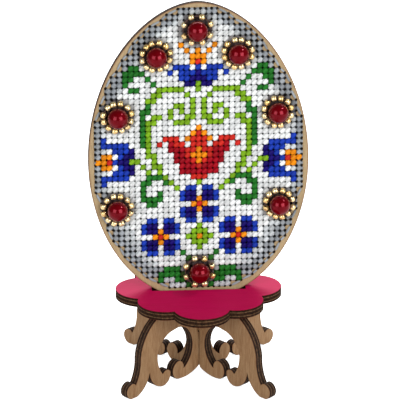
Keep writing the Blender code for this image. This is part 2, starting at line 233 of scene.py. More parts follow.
# ---- linear colour of the shade under a pearl, reddened by the pearl, and the share of its own colour that a
# stitch keeps there, by its distance from the pearl's middle in ring radii
UNDER_PEARL = (0.03, 0.004, 0.003)
SHADE_PLACES = (0.9, 1.1, 1.4)
SHADE_KEEPS = (0.05, 0.2, 1.0)

# ---- floss colours, as they are seen
FLOSS = {
    "white": (0.87, 0.88, 0.88),
    "light_grey": (0.74, 0.76, 0.77),
    "grey": (0.57, 0.59, 0.61),
    "blue": (0.08, 0.21, 0.64),
    "navy": (0.06, 0.0, 0.38),
    "orange": (0.88, 0.52, 0.04),
    "red": (0.74, 0.14, 0.10),
    "crimson": (0.58, 0.0, 0.08),
    "light_green": (0.46, 0.64, 0.10),
    "dark_green": (0.12, 0.42, 0.13),
}

# ---- strands of the floss, and how many times their grooves pass along a leg
PLIES = 6.0
PLY_TURNS = 5.0

# ---- colours of the pearls, the beads and their thread, as they are seen
PEARL_REDS = ((0.36, 0.0, 0.02), (0.41, 0.0, 0.035))
PEARL_GLEAM = (1.0, 0.55, 0.66)
BEAD_GOLDS = ((0.98, 0.90, 0.70), (0.93, 0.79, 0.50))
BEAD_SPOTS = (0.66, 0.42, 0.18)
# painted brown shade for each bead's hole and its ends, where the beads meet
BEAD_END_SHADE = (0.20, 0.09, 0.04)
THREAD_BROWN = (0.30, 0.13, 0.06)

# ---- the chart: for each motif and colour, row to runs of columns counted outwards from the middle line
CHART = {
    "tulip": {
        "orange": {-14: "0", -13: "1", -12: "2", -10: "0", -9: "0-1", -8: "0"},
        "red": {
            -13: "0", -12: "0-1 4-6", -11: "0-1 3-4 7", -10: "1-2",
            -9: "2", -8: "1", -7: "0", -5: "0-1",
        },
        "crimson": {-11: "5", -10: "3-5", -9: "3-4", -8: "2-4", -7: "1-3", -6: "0-3"},
        "white": {-12: "3", -11: "2 6"},
        "light_green": {-4: "0"},
    },
    "top_spray": {
        "orange": {-29: "3", -28: "0 2", -27: "0-1", -26: "1"},
        "red": {-26: "0"},
        "blue": {-25: "0 2-4", -24: "1-3 5", -23: "2-3"},
        "navy": {-24: "0", -23: "0-1", -22: "1-2"},
        "light_green": {-22: "0", -21: "0"},
        "white": {-29: "0-2", -28: "1", -25: "1", -24: "4"},
    },
    "leaf_diamond": {
        "light_green": {4: "0", 5: "0-1", 6: "1-2", 7: "0-1", 8: "0"},
        "orange": {6: "0"},
    },
    "side_flower": {
        "blue": {
            -12: "17", -11: "13-17", -10: "13-15", -9: "14", -8: "15",
            -7: "14", -6: "13-15", -5: "13-17", -4: "17",
        },
        "navy": {-10: "12", -9: "12-13", -8: "13-14", -7: "12-13", -6: "12"},
        "orange": {-9: "16-17", -8: "17-18", -7: "16-17"},
        "red": {-8: "16"},
        "white": {-10: "16", -9: "15", -7: "15", -6: "16"},
        "light_green": {-8: "11-12"},
    },
    "upper_leaf": {
        "dark_green": {-25: "11-12", -24: "10-13", -23: "9 12-13", -22: "8 13", -21: "11-12"},
        "white": {-23: "10-11", -22: "9-12"},
    },
    "lower_leaf": {
        "dark_green": {12: "4-6", 13: "3-7", 14: "3-4 7", 15: "2"},
        "light_grey": {14: "5-6", 15: "3-5"},
    },
    "scroll": {
        "light_green": {
            -21: "3-7", -20: "2 7-8", -19: "1 8-9", -18: "1 3-4", -17: "1 3 5", -16: "1-2 5 7-8",
            -15: "2-4 8-9", -14: "9", -13: "9", -12: "9", -11: "9", -10: "9", -9: "8-9", -8: "8",
            -7: "7-8 10", -6: "7 9", -5: "6", -4: "5", -3: "4",
        },
        "dark_green": {
            -18: "9", -17: "9-10", -16: "10", -15: "10", -14: "10", -13: "10", -12: "10", -11: "10",
            -5: "7-9", -4: "6 9-10", -3: "10", -2: "7 10", -1: "7-10", 0: "8-9",
        },
        "white": {-17: "4", -16: "3-4 9", -6: "8"},
    },
}
MIDDLE_MOTIFS = ("tulip", "top_spray", "leaf_diamond")
SPRIG = {(3, 9), (2, 10)}
CORNFLOWER_CENTRES = {
    "cornflower_middle": (0, 0),
    "cornflower_left": (-7, 6),
    "cornflower_right": (7, 6),
}

# ---- stitched half width of the board for each run of rows, as (first row, last row, half width)
STITCHED_ROWS = [
    (-35, -35, 3), (-34, -34, 5), (-33, -33, 6), (-32, -32, 8), (-31, -31, 9), (-30, -30, 10),
    (-29, -28, 11), (-27, -27, 12), (-26, -25, 13), (-24, -24, 14), (-23, -22, 15), (-21, -19, 16),
    (-18, -16, 17), (-15, -3, 18), (-2, 1, 17), (2, 4, 16), (5, 6, 15), (7, 7, 14), (8, 9, 13),
    (10, 10, 12), (11, 11, 11), (12, 12, 10), (13, 13, 9), (14, 14, 7), (15, 15, 5),
]


# ================================================================ materials


def linear(colour):
    """A colour as it is seen, turned into the linear values that shaders take."""
    return tuple(c / 12.92 if c <= 0.04045 else ((c + 0.055) / 1.055) ** 2.4 for c in colour) + (1.0,)


class Nodes:
    """A material's node tree with short calls for the nodes used here."""

    def __init__(self, name):
        self.material = bpy.data.materials.new(name)
        self.material.use_nodes = True
        self.tree = self.material.node_tree
        self.shader = self.tree.nodes["Principled BSDF"]

    def add(self, kind, **settings):
        node = self.tree.nodes.new("ShaderNode" + kind)
        for key, value in settings.items():
            setattr(node, key, value)
        return node

    def feed(self, socket, value):
        if isinstance(value, bpy.types.NodeSocket):
            self.tree.links.new(value, socket)
        else:
            socket.default_value = value

    def set(self, **values):
        for key, value in values.items():
            self.feed(self.shader.inputs[key.replace("_", " ").title().replace("Ior", "IOR")], value)

    def math(self, operation, a, b=0.0):
        node = self.add("Math", operation=operation)
        self.feed(node.inputs[0], a)
        self.feed(node.inputs[1], b)
        return node.outputs[0]

    def mix(self, factor, a, b):
        node = self.add("Mix", data_type="RGBA")
        self.feed(node.inputs["Factor"], factor)
        self.feed(node.inputs["A"], a)
        self.feed(node.inputs["B"], b)
        return node.outputs["Result"]

    def place(self):
        return self.add("TexCoord").outputs["Object"]

    def stretched(self, scale):
        node = self.add("Mapping")
        self.feed(node.inputs["Vector"], self.place())
        node.inputs["Scale"].default_value = scale
        return node.outputs["Vector"]

    def noise(self, vector, scale, detail=3.0, roughness=0.5):
        node = self.add("TexNoise")
        self.feed(node.inputs["Vector"], vector)
        node.inputs["Scale"].default_value = scale
        node.inputs["Detail"].default_value = detail
        node.inputs["Roughness"].default_value = roughness
        return node.outputs["Fac"]

    def attribute(self, name, output="Fac"):
        return self.add("Attribute", attribute_name=name).outputs[output]

    def split(self, vector):
        node = self.add("SeparateXYZ")
        self.feed(node.inputs[0], vector)
        return node.outputs

    def range(self, value, low, high, to_low=0.0, to_high=1.0, smooth=False):
        node = self.add("MapRange", interpolation_type="SMOOTHSTEP" if smooth else "LINEAR")
        numbers = {"Value": value, "From Min": low, "From Max": high, "To Min": to_low, "To Max": to_high}
        for key, number in numbers.items():
            self.feed(node.inputs[key], number)
        return node.outputs["Result"]

    def bump(self, height, distance, strength=1.0):
        node = self.add("Bump")
        self.feed(node.inputs["Height"], height)
        node.inputs["Distance"].default_value = distance
        node.inputs["Strength"].default_value = strength
        self.feed(self.shader.inputs["Normal"], node.outputs["Normal"])


def cut_plywood(name, wood_tones, grain, across, paint=None):
    """Laser-cut birch plywood: grain on the faces, browned rims and a charred three-ply edge.

    grain stretches the noise along the fibres and across is the axis through the thickness. The sheet's
    "char" attribute runs from 0 on the open face to 1 on the cut edge. paint colours the face that looks up.
    """
    light, dark = wood_tones
    m = Nodes(name)
    fibres = m.stretched(grain)
    broad = m.noise(fibres, BROAD_GRAIN, 4.0, 0.6)
    fine = m.noise(fibres, FINE_GRAIN, 2.0, 0.5)
    patches = m.noise(m.place(), WOOD_PATCHES, 2.0)
    tone = m.math("ADD", m.math("MULTIPLY", broad, 0.6), m.math("MULTIPLY", fine, 0.4))
    wood = m.mix(m.range(tone, 0.36, 0.64), linear(dark), linear(light))
    wood = m.mix(m.range(patches, 0.35, 0.7, 0.0, 0.22), wood, linear([c * 0.86 for c in light]))
    specks = m.noise(m.place(), WOOD_SPECKS, 1.0)
    wood = m.mix(m.range(specks, 0.40, 0.62, 0.22, 0.0), wood, linear([c * 0.62 for c in dark]))
    # high values on the open face, round holes that stitches surround, are painted shade as well as laser
    # char
    char_and_shade = m.attribute("char_and_shade")
    if paint:
        pigment = m.mix(m.range(broad, 0.3, 0.7), linear(paint[1]), linear(paint[0]))
        grazed = m.noise(m.place(), PAINT_GRAZES, 2.0)
        pigment = m.mix(m.range(grazed, 0.5, 0.8, 0.0, 0.3), pigment, linear(paint[2]))
        up = m.split(m.add("NewGeometry").outputs["Normal"])["Z"]
        wood = m.mix(m.range(up, 0.3, 0.6), wood, pigment)
    browned = m.mix(m.range(char_and_shade, 0.0, 0.6), wood, linear(BROWNED_PAINT if paint else BROWNED_WOOD))
    through = m.split(m.place())[across]
    waves = m.math("SUBTRACT", m.noise(m.place(), SEAM_WAVES, 2.0), 0.5)
    wobble = m.math("MULTIPLY", waves, SEAM_WOBBLE)
    from_middle = m.math("ABSOLUTE", m.math("ADD", through, wobble))
    from_seam = m.math("ABSOLUTE", m.math("SUBTRACT", from_middle, SEAM_OUT))
    seam = m.range(from_seam, 0.05 * MM, 0.20 * MM, 1.0, 0.0, True)
    soot = m.noise(m.place(), SOOT, 3.0, 0.7)
    edge = m.mix(m.range(soot, 0.35, 0.75), linear(CHARRED[0]), linear(CHARRED[1]))
    edge = m.mix(m.math("MULTIPLY", seam, m.range(soot, 0.3, 0.6, 0.1, 0.7)), edge, linear(SEAM))
    colour = m.mix(m.range(char_and_shade, 0.62, 0.95), browned, edge)
    m.set(base_color=colour, roughness=m.range(char_and_shade, 0.3, 1.0, 0.62, 0.85))
    m.set(specular_ior_level=0.08 if paint else 0.2)
    m.bump(m.math("ADD", m.math("MULTIPLY", tone, 0.5), m.math("MULTIPLY", soot, 0.5)), 0.06 * MM, 0.5)
    return m.material


def floss_material():
    """Stranded cotton: colour from "floss", whose alpha grows from 0 in a hole to 1 where its shade ends.

    The plies come from "strand", which holds the place along, the place around and a chance value.
    """
    m = Nodes("stranded_cotton")
    along, around, chance = (m.split(m.attribute("strand", "Vector"))[axis] for axis in "XYZ")
    turns = m.math("ADD", m.math("MULTIPLY", around, PLIES), m.math("MULTIPLY", along, PLY_TURNS))
    groove = m.math("SINE", m.math("MULTIPLY", turns, 2 * math.pi))
    hairs = m.noise(m.place(), FLOSS_HAIRS, 2.0, 0.6)
    shade = m.range(chance, 0.0, 1.0, 0.74, 1.08)
    # painted shade: the grooves between the plies are darker
    shade = m.math("MULTIPLY", shade, m.range(groove, -1.0, 0.4, 0.84, 1.0))
    shade = m.math("MULTIPLY", shade, m.range(hairs, 0.3, 0.7, 0.94, 1.04))
    in_hole = m.range(m.attribute("floss", "Alpha"), 0.5, 1.0, 0.04, 1.0, True)
    # painted shade: each leg darkens on its underside, which faces the board
    outward = m.math("SINE", m.math("MULTIPLY", around, 2 * math.pi))
    painted_underside_shade = m.range(outward, -0.5, 0.2, 0.4, 1.0, True)
    tinted = m.add("VectorMath", operation="SCALE")
    m.feed(tinted.inputs[0], m.attribute("floss", "Color"))
    m.feed(tinted.inputs["Scale"], m.math("MULTIPLY", shade, m.math("MULTIPLY", in_hole, painted_underside_shade)))
    m.set(base_color=tinted.outputs[0], roughness=0.5, specular_ior_level=0.1)
    m.bump(m.math("ADD", groove, m.math("MULTIPLY", hairs, 0.6)), 0.04 * MM, 0.6)
    return m.material


def pearl_material():
    """Dark red pearl: a cloudy lacquer over nacre, under a thin clear coat."""
    m = Nodes("red_pearl")
    cloud = m.noise(m.place(), PEARL_CLOUDS, 3.0)
    colour = m.mix(m.range(cloud, 0.35, 0.65), linear(PEARL_REDS[0]), linear(PEARL_REDS[1]))
    m.set(base_color=colour, roughness=m.range(cloud, 0.3, 0.7, 0.13, 0.17), metallic=0.25)
    m.set(specular_ior_level=0.38, specular_tint=linear(PEARL_GLEAM))
    m.set(coat_weight=0.05, coat_roughness=0.05)
    m.bump(cloud, 0.02 * MM, 0.3)
    return m.material


def gold_bead_material():
    """Gold-lined glass: pale warm metal, with painted brown shade in its hole and on its ends, where it meets
    its neighbours.
    """
    m = Nodes("gold_bead")
    spots = m.noise(m.place(), BEAD_SPECKS, 2.0)
    tone = m.mix(m.attribute("chance"), linear(BEAD_GOLDS[0]), linear(BEAD_GOLDS[1]))
    tone = m.mix(m.range(spots, 0.45, 0.75, 0.0, 0.5), tone, linear(BEAD_SPOTS))
    # painted shade: the colour goes brown towards the hole and the ends
    colour = m.mix(m.range(m.attribute("end"), 0.45, 0.95, 0.0, 1.0, True), tone, linear(BEAD_END_SHADE))
    m.set(base_color=colour, metallic=0.8, roughness=m.range(spots, 0.3, 0.7, 0.18, 0.30))
    m.set(coat_weight=0.5, coat_roughness=0.06)
    m.bump(spots, 0.03 * MM, 0.5)
    return m.material


def thread_material():
    """Brown sewing thread with fine hairs."""
    m = Nodes("sewing_thread")
    hairs = m.noise(m.stretched((1, 1, 3)), THREAD_HAIRS, 2.0)
    shaded = linear([c * 0.7 for c in THREAD_BROWN])
    m.set(base_color=m.mix(m.range(hairs, 0.3, 0.7), shaded, linear(THREAD_BROWN)))
    m.set(roughness=0.7, sheen_weight=0.3)
    m.bump(hairs, 0.03 * MM, 0.6)
    return m.material


# ================================================================ mesh helpers


def add_piece(name, mesh, material, body, slot, nodes, matrix):
    """Puts a finished mesh in the scene on its body, in place of the CAD nodes that it replaces."""
    piece = bpy.data.objects.new(name, mesh)
    bpy.context.scene.collection.objects.link(piece)
    piece.matrix_world = matrix
    mesh.materials.append(material)
    bpy.context.view_layer.update()
    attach(piece, body)
    if nodes:
        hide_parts(*nodes)
    return piece


def arc(start, via, end, step=math.radians(5)):
    """Points of the arc from start through via to end, without its last point."""
    (ax, ay), (bx, by), (cx, cy) = start, via, end
    cross = 2 * (ax * (by - cy) + bx * (cy - ay) + cx * (ay - by))
    squares = [x * x + y * y for x, y in (start, via, end)]
    mx = (squares[0] * (by - cy) + squares[1] * (cy - ay) + squares[2] * (ay - by)) / cross
    my = (squares[0] * (cx - bx) + squares[1] * (ax - cx) + squares[2] * (bx - ax)) / cross
    angles = [math.atan2(y - my, x - mx) for x, y in (start, via, end)]
    turn = 1 if cross > 0 else -1
    sweep = turn * ((turn * (angles[2] - angles[0])) % (2 * math.pi))
    count = max(3, math.ceil(abs(sweep) / step))
    radius = math.hypot(ax - mx, ay - my)
    turns = [angles[0] + sweep * i / count for i in range(count)]
    return [(mx + radius * math.cos(t), my + radius * math.sin(t)) for t in turns]


def inset(loop, distance):
    """A closed outline moved to its left, the material side, by one distance or by one for each corner."""
    moved = []
    for i, (x, y) in enumerate(loop):
        step = distance if isinstance(distance, float) else distance[i]
        (px, py), (qx, qy) = loop[i - 1], loop[(i + 1) % len(loop)]
        a, b = math.hypot(x - px, y - py), math.hypot(qx - x, qy - y)
        n0, n1 = (-(y - py) / a, (x - px) / a), (-(qy - y) / b, (qx - x) / b)
        open_up = max(1 + n0[0] * n1[0] + n0[1] * n1[1], 0.5)
        moved.append((x + step * (n0[0] + n1[0]) / open_up, y + step * (n0[1] + n1[1]) / open_up))
    return moved


def turned_left(loop):
    """The same outline, run anticlockwise."""
    area = sum(loop[i - 1][0] * y - x * loop[i - 1][1] for i, (x, y) in enumerate(loop))
    return loop if area > 0 else loop[::-1]


def fill_face(bm, rings, upright):
    """Triangles between the first ring and the others, which are holes in it."""
    corners = [vert for ring in rings for vert in ring]
    flat = [vert.co.xz if upright else vert.co.xy for vert in corners]
    outlines, first = [], 0
    for ring in rings:
        loop = list(range(first, first + len(ring)))
        area = sum(flat[i].cross(flat[loop[k - len(loop) + 1]]) for k, i in enumerate(loop))
        outlines.append(loop if area > 0 else loop[::-1])
        first += len(ring)
    _, _, triangles, sources, _, owners = delaunay_2d_cdt(flat, [], outlines, 1, 1e-9)
    for triangle, owner in zip(triangles, owners):
        if owner == [0]:
            bm.faces.new([corners[sources[i][0]] for i in triangle])


def bridge(bm, rings):
    """Faces between each ring and the next."""
    for low, high in zip(rings, rings[1:]):
        for i in range(len(low)):
            bm.faces.new((low[i - 1], low[i], high[i], high[i - 1]))


def finished_mesh(bm, name):
    """The mesh of bm, with its faces turned outwards."""
    bmesh.ops.recalc_face_normals(bm, faces=bm.faces)
    mesh = bpy.data.meshes.new(name)
    bm.to_mesh(mesh)
    bm.free()
    return mesh


def cut_sheet(name, loops, upright):
    """A sheet of PLY thickness about its middle plane, with the "char" attribute on its edges.

    loops holds pairs of an outline and its rim. The first is the outer edge and the rest are holes. A rim
    is a list of (step in from the cut, depth below the face, char), from the cut wall to the open face.
    """
    bm = bmesh.new()
    char_and_shade = bm.verts.layers.float.new("char_and_shade")
    half = PLY / 2
    inner = []
    for k, (loop, rim) in enumerate(loops):
        loop = turned_left(loop) if k == 0 else turned_left(loop)[::-1]
        upper = [(step, half - depth, value) for step, depth, value in rim]
        lower = [(step, -height, value) for step, height, value in reversed(upper)]
        rings = []
        for step, height, value in lower + upper:
            ring = []
            for a, b in inset(loop, step):
                ring.append(bm.verts.new((a, height, b) if upright else (a, b, height)))
                ring[-1][char_and_shade] = value
            rings.append(ring)
        bridge(bm, rings)
        inner += [rings[0], rings[-1]]
    for rings in (inner[0::2], inner[1::2]):
        fill_face(bm, rings, upright)
    return finished_mesh(bm, name)


def tubes(name, legs, stations, sides, out):
    """Stitch legs in one mesh; out is -1 for the front of the board and +1 for its back.

    legs holds rows of start x, start z, end x, end z, lift, width factor, chance and colour, whose fourth
    value is the reach of the holes' shade. stations describes the first half of every leg.
    """
    table = np.array([leg[:7] for leg in legs])
    colours = np.array([leg[7] for leg in legs], np.float32)
    start, end = table[:, 0:2], table[:, 2:4]
    lift, widen, chance = table[:, 4], table[:, 5], table[:, 6]
    mirrored = [(round(1 - along, 2), *rest) for along, *rest in reversed(stations)]
    t, rise, wide, thick = (np.array(column) for column in zip(*stations, *mirrored))
    wide, thick = wide * MM, thick * MM
    along = end - start
    heading = along / np.linalg.norm(along, axis=1, keepdims=True)
    turn = 2 * math.pi * np.arange(sides) / sides
    centre = start[:, None, :] + along[:, None, :] * t[None, :, None]
    height = -DIP + (lift[:, None] + DIP) * rise[None, :]
    width = widen[:, None, None] * wide[None, :, None] * np.cos(turn)[None, None, :]
    depth = thick[None, :, None] * np.sin(turn)[None, None, :]
    x = centre[:, :, None, 0] - heading[:, None, None, 1] * width
    z = centre[:, :, None, 1] + heading[:, None, None, 0] * width
    y = out * (PLY / 2 + height[:, :, None] + depth)
    points = np.stack([x, np.broadcast_to(y, x.shape), z], axis=-1).reshape(-1, 3)
    count, steps = x.shape[:2]
    grid = np.arange(count * steps * sides).reshape(count, steps, sides)
    after = np.roll(grid, -1, axis=2)
    quads = np.stack([grid[:, :-1], after[:, :-1], after[:, 1:], grid[:, 1:]], axis=-1).reshape(-1, 4)
    caps = np.concatenate([grid[:, 0, ::-1], grid[:, -1]])
    mesh = bpy.data.meshes.new(name)
    mesh.from_pydata(points.tolist(), [], [face[::-out] for face in quads.tolist() + caps.tolist()])
    mesh.shade_smooth()
    strand = np.empty((count, steps, sides, 3), np.float32)
    strand[..., 0] = t[None, :, None]
    strand[..., 1] = (turn / (2 * math.pi))[None, None, :]
    strand[..., 2] = chance[:, None, None]
    mesh.attributes.new("strand", "FLOAT_VECTOR", "POINT").data.foreach_set("vector", strand.ravel())
    paint = np.repeat(colours, steps * sides, axis=0)
    length = np.linalg.norm(along, axis=1)[:, None]
    to_end = length * np.minimum(t, 1 - t)[None, :]
    from_hole = np.hypot(to_end[:, :, None], width)
    paint[:, 3] = (from_hole / colours[:, 3, None, None]).clip(0, 2).ravel()
    mesh.attributes.new("floss", "FLOAT_COLOR", "POINT").data.foreach_set("color", paint.ravel())
    return mesh


def turned(profile, turns):
    """Vertices and faces of a closed loop of (radius, height) turned round x."""
    count = len(profile)
    verts = []
    for k in range(turns):
        c, s = math.cos(2 * math.pi * k / turns), math.sin(2 * math.pi * k / turns)
        verts += [(h, r * c, r * s) for r, h in profile]
    faces = []
    for k in range(turns):
        for i in range(count):
            a, b = k * count + i, k * count + (i + 1) % count
            c, d = ((k + 1) % turns) * count + (i + 1) % count, ((k + 1) % turns) * count + i
            faces.append((a, b, c, d))
    return verts, faces


def bent_thread(name, points, radius, sides=6):
    """A thin closed-ended thread through points."""
    bm = bmesh.new()
    angles = [2 * math.pi * i / sides for i in range(sides)]
    section = [Vector((radius * math.cos(a), radius * math.sin(a), 0)) for a in angles]
    rings = []
    for k, here in enumerate(points):
        before, after = points[max(k - 1, 0)], points[min(k + 1, len(points) - 1)]
        turn = (after - before).to_track_quat("Z", "Y").to_matrix()
        rings.append([bm.verts.new(here + turn @ corner) for corner in section])
    bridge(bm, rings)
    bm.faces.new(rings[0][::-1])
    bm.faces.new(rings[-1])
    mesh = finished_mesh(bm, name)
    mesh.shade_smooth()
    return mesh


# ================================================================ stand


def plate_outline():
    """Eight lobes, wide and narrow in turn, whose arcs meet in notches."""
    wide_out, wide_r = WIDE_LOBE
    narrow_out, narrow_r = NARROW_LOBE
    turn = math.pi / 4
    nx, ny = narrow_out * math.cos(turn), narrow_out * math.sin(turn)
    gap = math.hypot(nx - wide_out, ny)
    along = (gap * gap + wide_r * wide_r - narrow_r * narrow_r) / (2 * gap)
    off = math.sqrt(wide_r * wide_r - along * along)
    ux, uy = (nx - wide_out) / gap, ny / gap
    notch = (wide_out + along * ux + off * uy, along * uy - off * ux)
    notch_radius = math.hypot(*notch)
    notch_angle = math.atan2(notch[1], notch[0])
    points = []
    for k in range(4):
        middle = k * math.pi / 2
        stops = [
            (notch_radius, middle - notch_angle),
            (wide_out + wide_r, middle),
            (notch_radius, middle + notch_angle),
            (narrow_out + narrow_r, middle + turn),
            (notch_radius, middle + math.pi / 2 - notch_angle),
        ]
        xy = [(r * math.cos(a), r * math.sin(a)) for r, a in stops]
        points += arc(xy[0], xy[1], xy[2]) + arc(xy[2], xy[3], xy[4])
    return points


def make_plate():
    """The stained plate with its slot."""
    half_x, half_y = SLOT_LENGTH / 2, SLOT_WIDTH / 2
    slot = [(-half_x, -half_y), (half_x, -half_y), (half_x, half_y), (-half_x, half_y)]
    mesh = cut_sheet("painted_plate", [(plate_outline(), RIM), (slot, RIM)], upright=False)
    place = Matrix.Translation((0, 0, PLATE_TOP - PLY / 2)) @ Matrix.Rotation(PLATE_YAW, 4, "Z")
    look = cut_plywood("plate_paint", PLATE_WOOD, (0.12, 1, 1), "Z", PLATE_PAINT)
    add_piece("painted_plate", mesh, look, "stand", "plate_paint", ["scalloped_plate"], place)


def leg_half_outline():
    """Right half of a leg panel, from the bottom of its middle to its top edge."""
    points = []
    for start, via, end in zip(LEG_CORNERS, LEG_BULGES, LEG_CORNERS[1:]):
        points += arc(start, via, end) if via else [start]
    points.append(LEG_CORNERS[-1])
    return [(u * MM, z * MM) for u, z in points]


def make_leg_panel(node, name, turn, slot_from_top, look):
    """One full-width panel; its half of the cross lap opens upwards or downwards."""
    half = leg_half_outline()
    lap = LAP_WIDTH / 2
    if slot_from_top:
        right = half + [(lap, half[-1][1]), (lap, LAP_HEIGHT)]
    else:
        open_edge = [point for point in half if point[0] > lap]
        right = [(lap, LAP_HEIGHT + LAP_PLAY), (lap, half[0][1] - LAP_PLAY)] + open_edge
    left = [(-u, z) for u, z in reversed(right) if u > 0]
    mesh = cut_sheet(name, [(right + left, RIM)], upright=True)
    add_piece(name, mesh, look, "stand", "leg_plywood", [node], Matrix.Rotation(turn, 4, "Z"))


def make_legs():
    """Both scroll panels, which share one look."""
    look = cut_plywood("leg_plywood", LEG_WOOD, (1, 1, 0.12), "Y")
    make_leg_panel("leg_panel_a", "scroll_panel_a", math.radians(45), True, look)
    make_leg_panel("leg_panel_b", "scroll_panel_b", math.radians(-45), False, look)


# ================================================================ the chart


def runs(text):
    """Columns of a run list such as "0-1 4-6"."""
    found = []
    for part in text.split():
        first, _, last = part.partition("-")
        found += range(int(first), int(last or first) + 1)
    return found


def stitched_half_widths():
    """Stitched half width of the board for each row."""
    return {row: half for first, last, half in STITCHED_ROWS for row in range(first, last + 1)}


def cornflower(i, j):
    """Colour of a cornflower's stitch, counted from its middle; None outside the flower."""
    a, b = sorted((abs(i), abs(j)))
    if b > 3 or (a, b) == (3, 3):
        return None
    if a == 0:
        return {0: "red", 1: "orange"}.get(b, "white")
    return "navy" if b <= 2 else "blue"


def chart_cells():
    """Each stitched cell (column, row): the piece that it belongs to and its colour."""
    cells = {}
    for motif, colours in CHART.items():
        for colour, rows in colours.items():
            for row, text in rows.items():
                for column in runs(text):
                    for sign, side in ((-1, "_left"), (1, "_right")):
                        name = motif if motif in MIDDLE_MOTIFS else motif + side
                        cells[sign * column, row] = (name, colour)
    for name, (out, down) in CORNFLOWER_CENTRES.items():
        for i in range(-3, 4):
            for j in range(-3, 4):
                colour = cornflower(i, j)
                if colour:
                    cells[out + i, down + j] = (name, colour)
    for column, row in SPRIG:
        cells[-column, row] = ("cornflower_left", "dark_green")
        cells[column, row] = ("cornflower_right", "dark_green")
    for row, half in stitched_half_widths().items():
        for column in range(-half, half + 1):
            if (column, row) not in cells:
                cells[column, row] = plain_cell(column, row, half)
    return cells


def plain_cell(column, row, half):
    """A white ground cell, or a border cell in grey that pales inwards."""
    out = half - abs(column)
    if out > 1 and -34 < row < 12:
        shaded = out < 4 if row > 3 else out < 3 and (row < -20 or row > 0)
        return "ground_stitches", "light_grey" if shaded else "white"
    pale = (out == 1 and -16 < row < 4) or (row <= -34 and out > 1) or (row > 11 and out > 3)
    return border_node(column, row), "light_grey" if pale else "grey"


def border_node(column, row):
    """The border's piece that a stitch belongs to."""
    if row > 11 and abs(column) < 4:
        return "border_base"
    if row < -8:
        return "border_upper"
    return "border_lower_left" if column < 0 else "border_lower_right"


# ================================================================ egg board and stitches


def egg_half_width(row):
    """Half width of the board at a row, both in stitches."""
    span, power = (LOWER_SPAN, LOWER_POWER) if row > WIDEST_ROW else (TOP_SPAN, TOP_POWER)
    depth = (row - WIDEST_ROW) / span
    return WIDEST_HALF * (1 - depth * depth) ** power


def egg_outline(steps=120):
    """Apex to base down the right side and back up the left, evenly spaced in angle."""
    right = [(0.0, WIDEST_ROW - TOP_SPAN)]
    for k in range(1, steps):
        row = WIDEST_ROW - TOP_SPAN * math.cos(math.pi / 2 * k / steps)
        right.append((egg_half_width(row), row))
    base_angle = math.asin((BASE_ROW - WIDEST_ROW) / LOWER_SPAN)
    for k in range(steps + 1):
        row = WIDEST_ROW + LOWER_SPAN * math.sin(base_angle * k / steps)
        right.append((egg_half_width(row), row))
    left = [(-c, r) for c, r in reversed(right) if c > 0]
    return [(c * PITCH, -r * PITCH) for c, r in right + left]


def hole_places(cells):
    """Corners of the stitched cells, as (x, z, True where stitches surround the hole)."""
    corners = {(column + i, row + j) for column, row in cells for i in (0, 1) for j in (0, 1)}
    places = []
    for i, j in sorted(corners):
        inner = all((column, row) in cells for column in (i - 1, i) for row in (j - 1, j))
        places.append(((i - 0.5) * PITCH, (0.5 - j) * PITCH, inner))
    return places


def browned_band(outline, holes):
    """How far the browned band reaches in from each corner of the outline: it stops short of the holes."""
    edge, centres = np.array(outline), np.array(holes)[:, :2]
    nearest = np.linalg.norm(edge[:, None] - centres[None], axis=2).min(axis=1)
    free = nearest - HOLE_RADIUS - HOLE_RIM[-1][0] - BAND_TO_HOLE
    return np.clip(free, RIM[-1][0] + LEAST_BAND, BROWNED_BAND).tolist()


def make_board(cells):
    """The drilled board, with a browned band along its edge."""
    outline = turned_left(egg_outline())
    holes = hole_places(cells)
    loops = [(outline, RIM + [(browned_band(outline, holes), 0.0, 0.0)])]
    turns = [2 * math.pi * k / HOLE_SIDES for k in range(HOLE_SIDES)]
    for x, z, inner in holes:
        radius = HOLE_RADIUS * rng.uniform(*HOLE_SIZE_CHANCE)
        rim = CHARRED_AND_SHADED_HOLE_RIM if inner else HOLE_RIM
        loops.append(([(x + radius * math.cos(a), z + radius * math.sin(a)) for a in turns], rim))
    mesh = cut_sheet("perforated_board", loops, upright=True)
    look = cut_plywood("egg_plywood", EGG_WOOD, (1, 1, 0.12), "Y")
    add_piece("perforated_board", mesh, look, "egg", "egg_plywood", ["egg_board"], EGG_FRAME)


def pearl_shade(x, z):
    """How much of its colour a stitch keeps in the shade under the nearest pearl and its ring."""
    nearest = min(math.hypot(x - c * PITCH, z + r * PITCH) for c, r in PEARL_PLACES.values())
    return float(np.interp(nearest, [place * RING_RADIUS for place in SHADE_PLACES], SHADE_KEEPS))


def leg(x0, z0, x1, z1, lift, colour, keep=1.0, widen=1.0):
    """One row of tubes(): a stitch leg between two holes, a little uneven as handwork is."""
    ends = [value + rng.normal(0.0, HOLE_JITTER) for value in (x0, z0, x1, z1)]
    paint = tuple(keep * c + (1 - keep) * d for c, d in zip(linear(FLOSS[colour]), UNDER_PEARL))
    paint += (HOLE_SHADE.get(colour, DEEP_SHADE),)
    return ends + [lift, widen * rng.uniform(*WIDTH_CHANCE), rng.uniform(), paint]


def edge_corners():
    """Holes at the right-hand outer corners of the stepped border, from the top down, as (column, row)."""
    widths = sorted(stitched_half_widths().items())
    corners = []
    for k, (row, half) in enumerate(widths):
        if k == 0 or half > widths[k - 1][1]:
            corners.append((half + 0.5, row - 0.5))
        if k + 1 == len(widths) or half > widths[k + 1][1]:
            corners.append((half + 0.5, row + 0.5))
    return corners


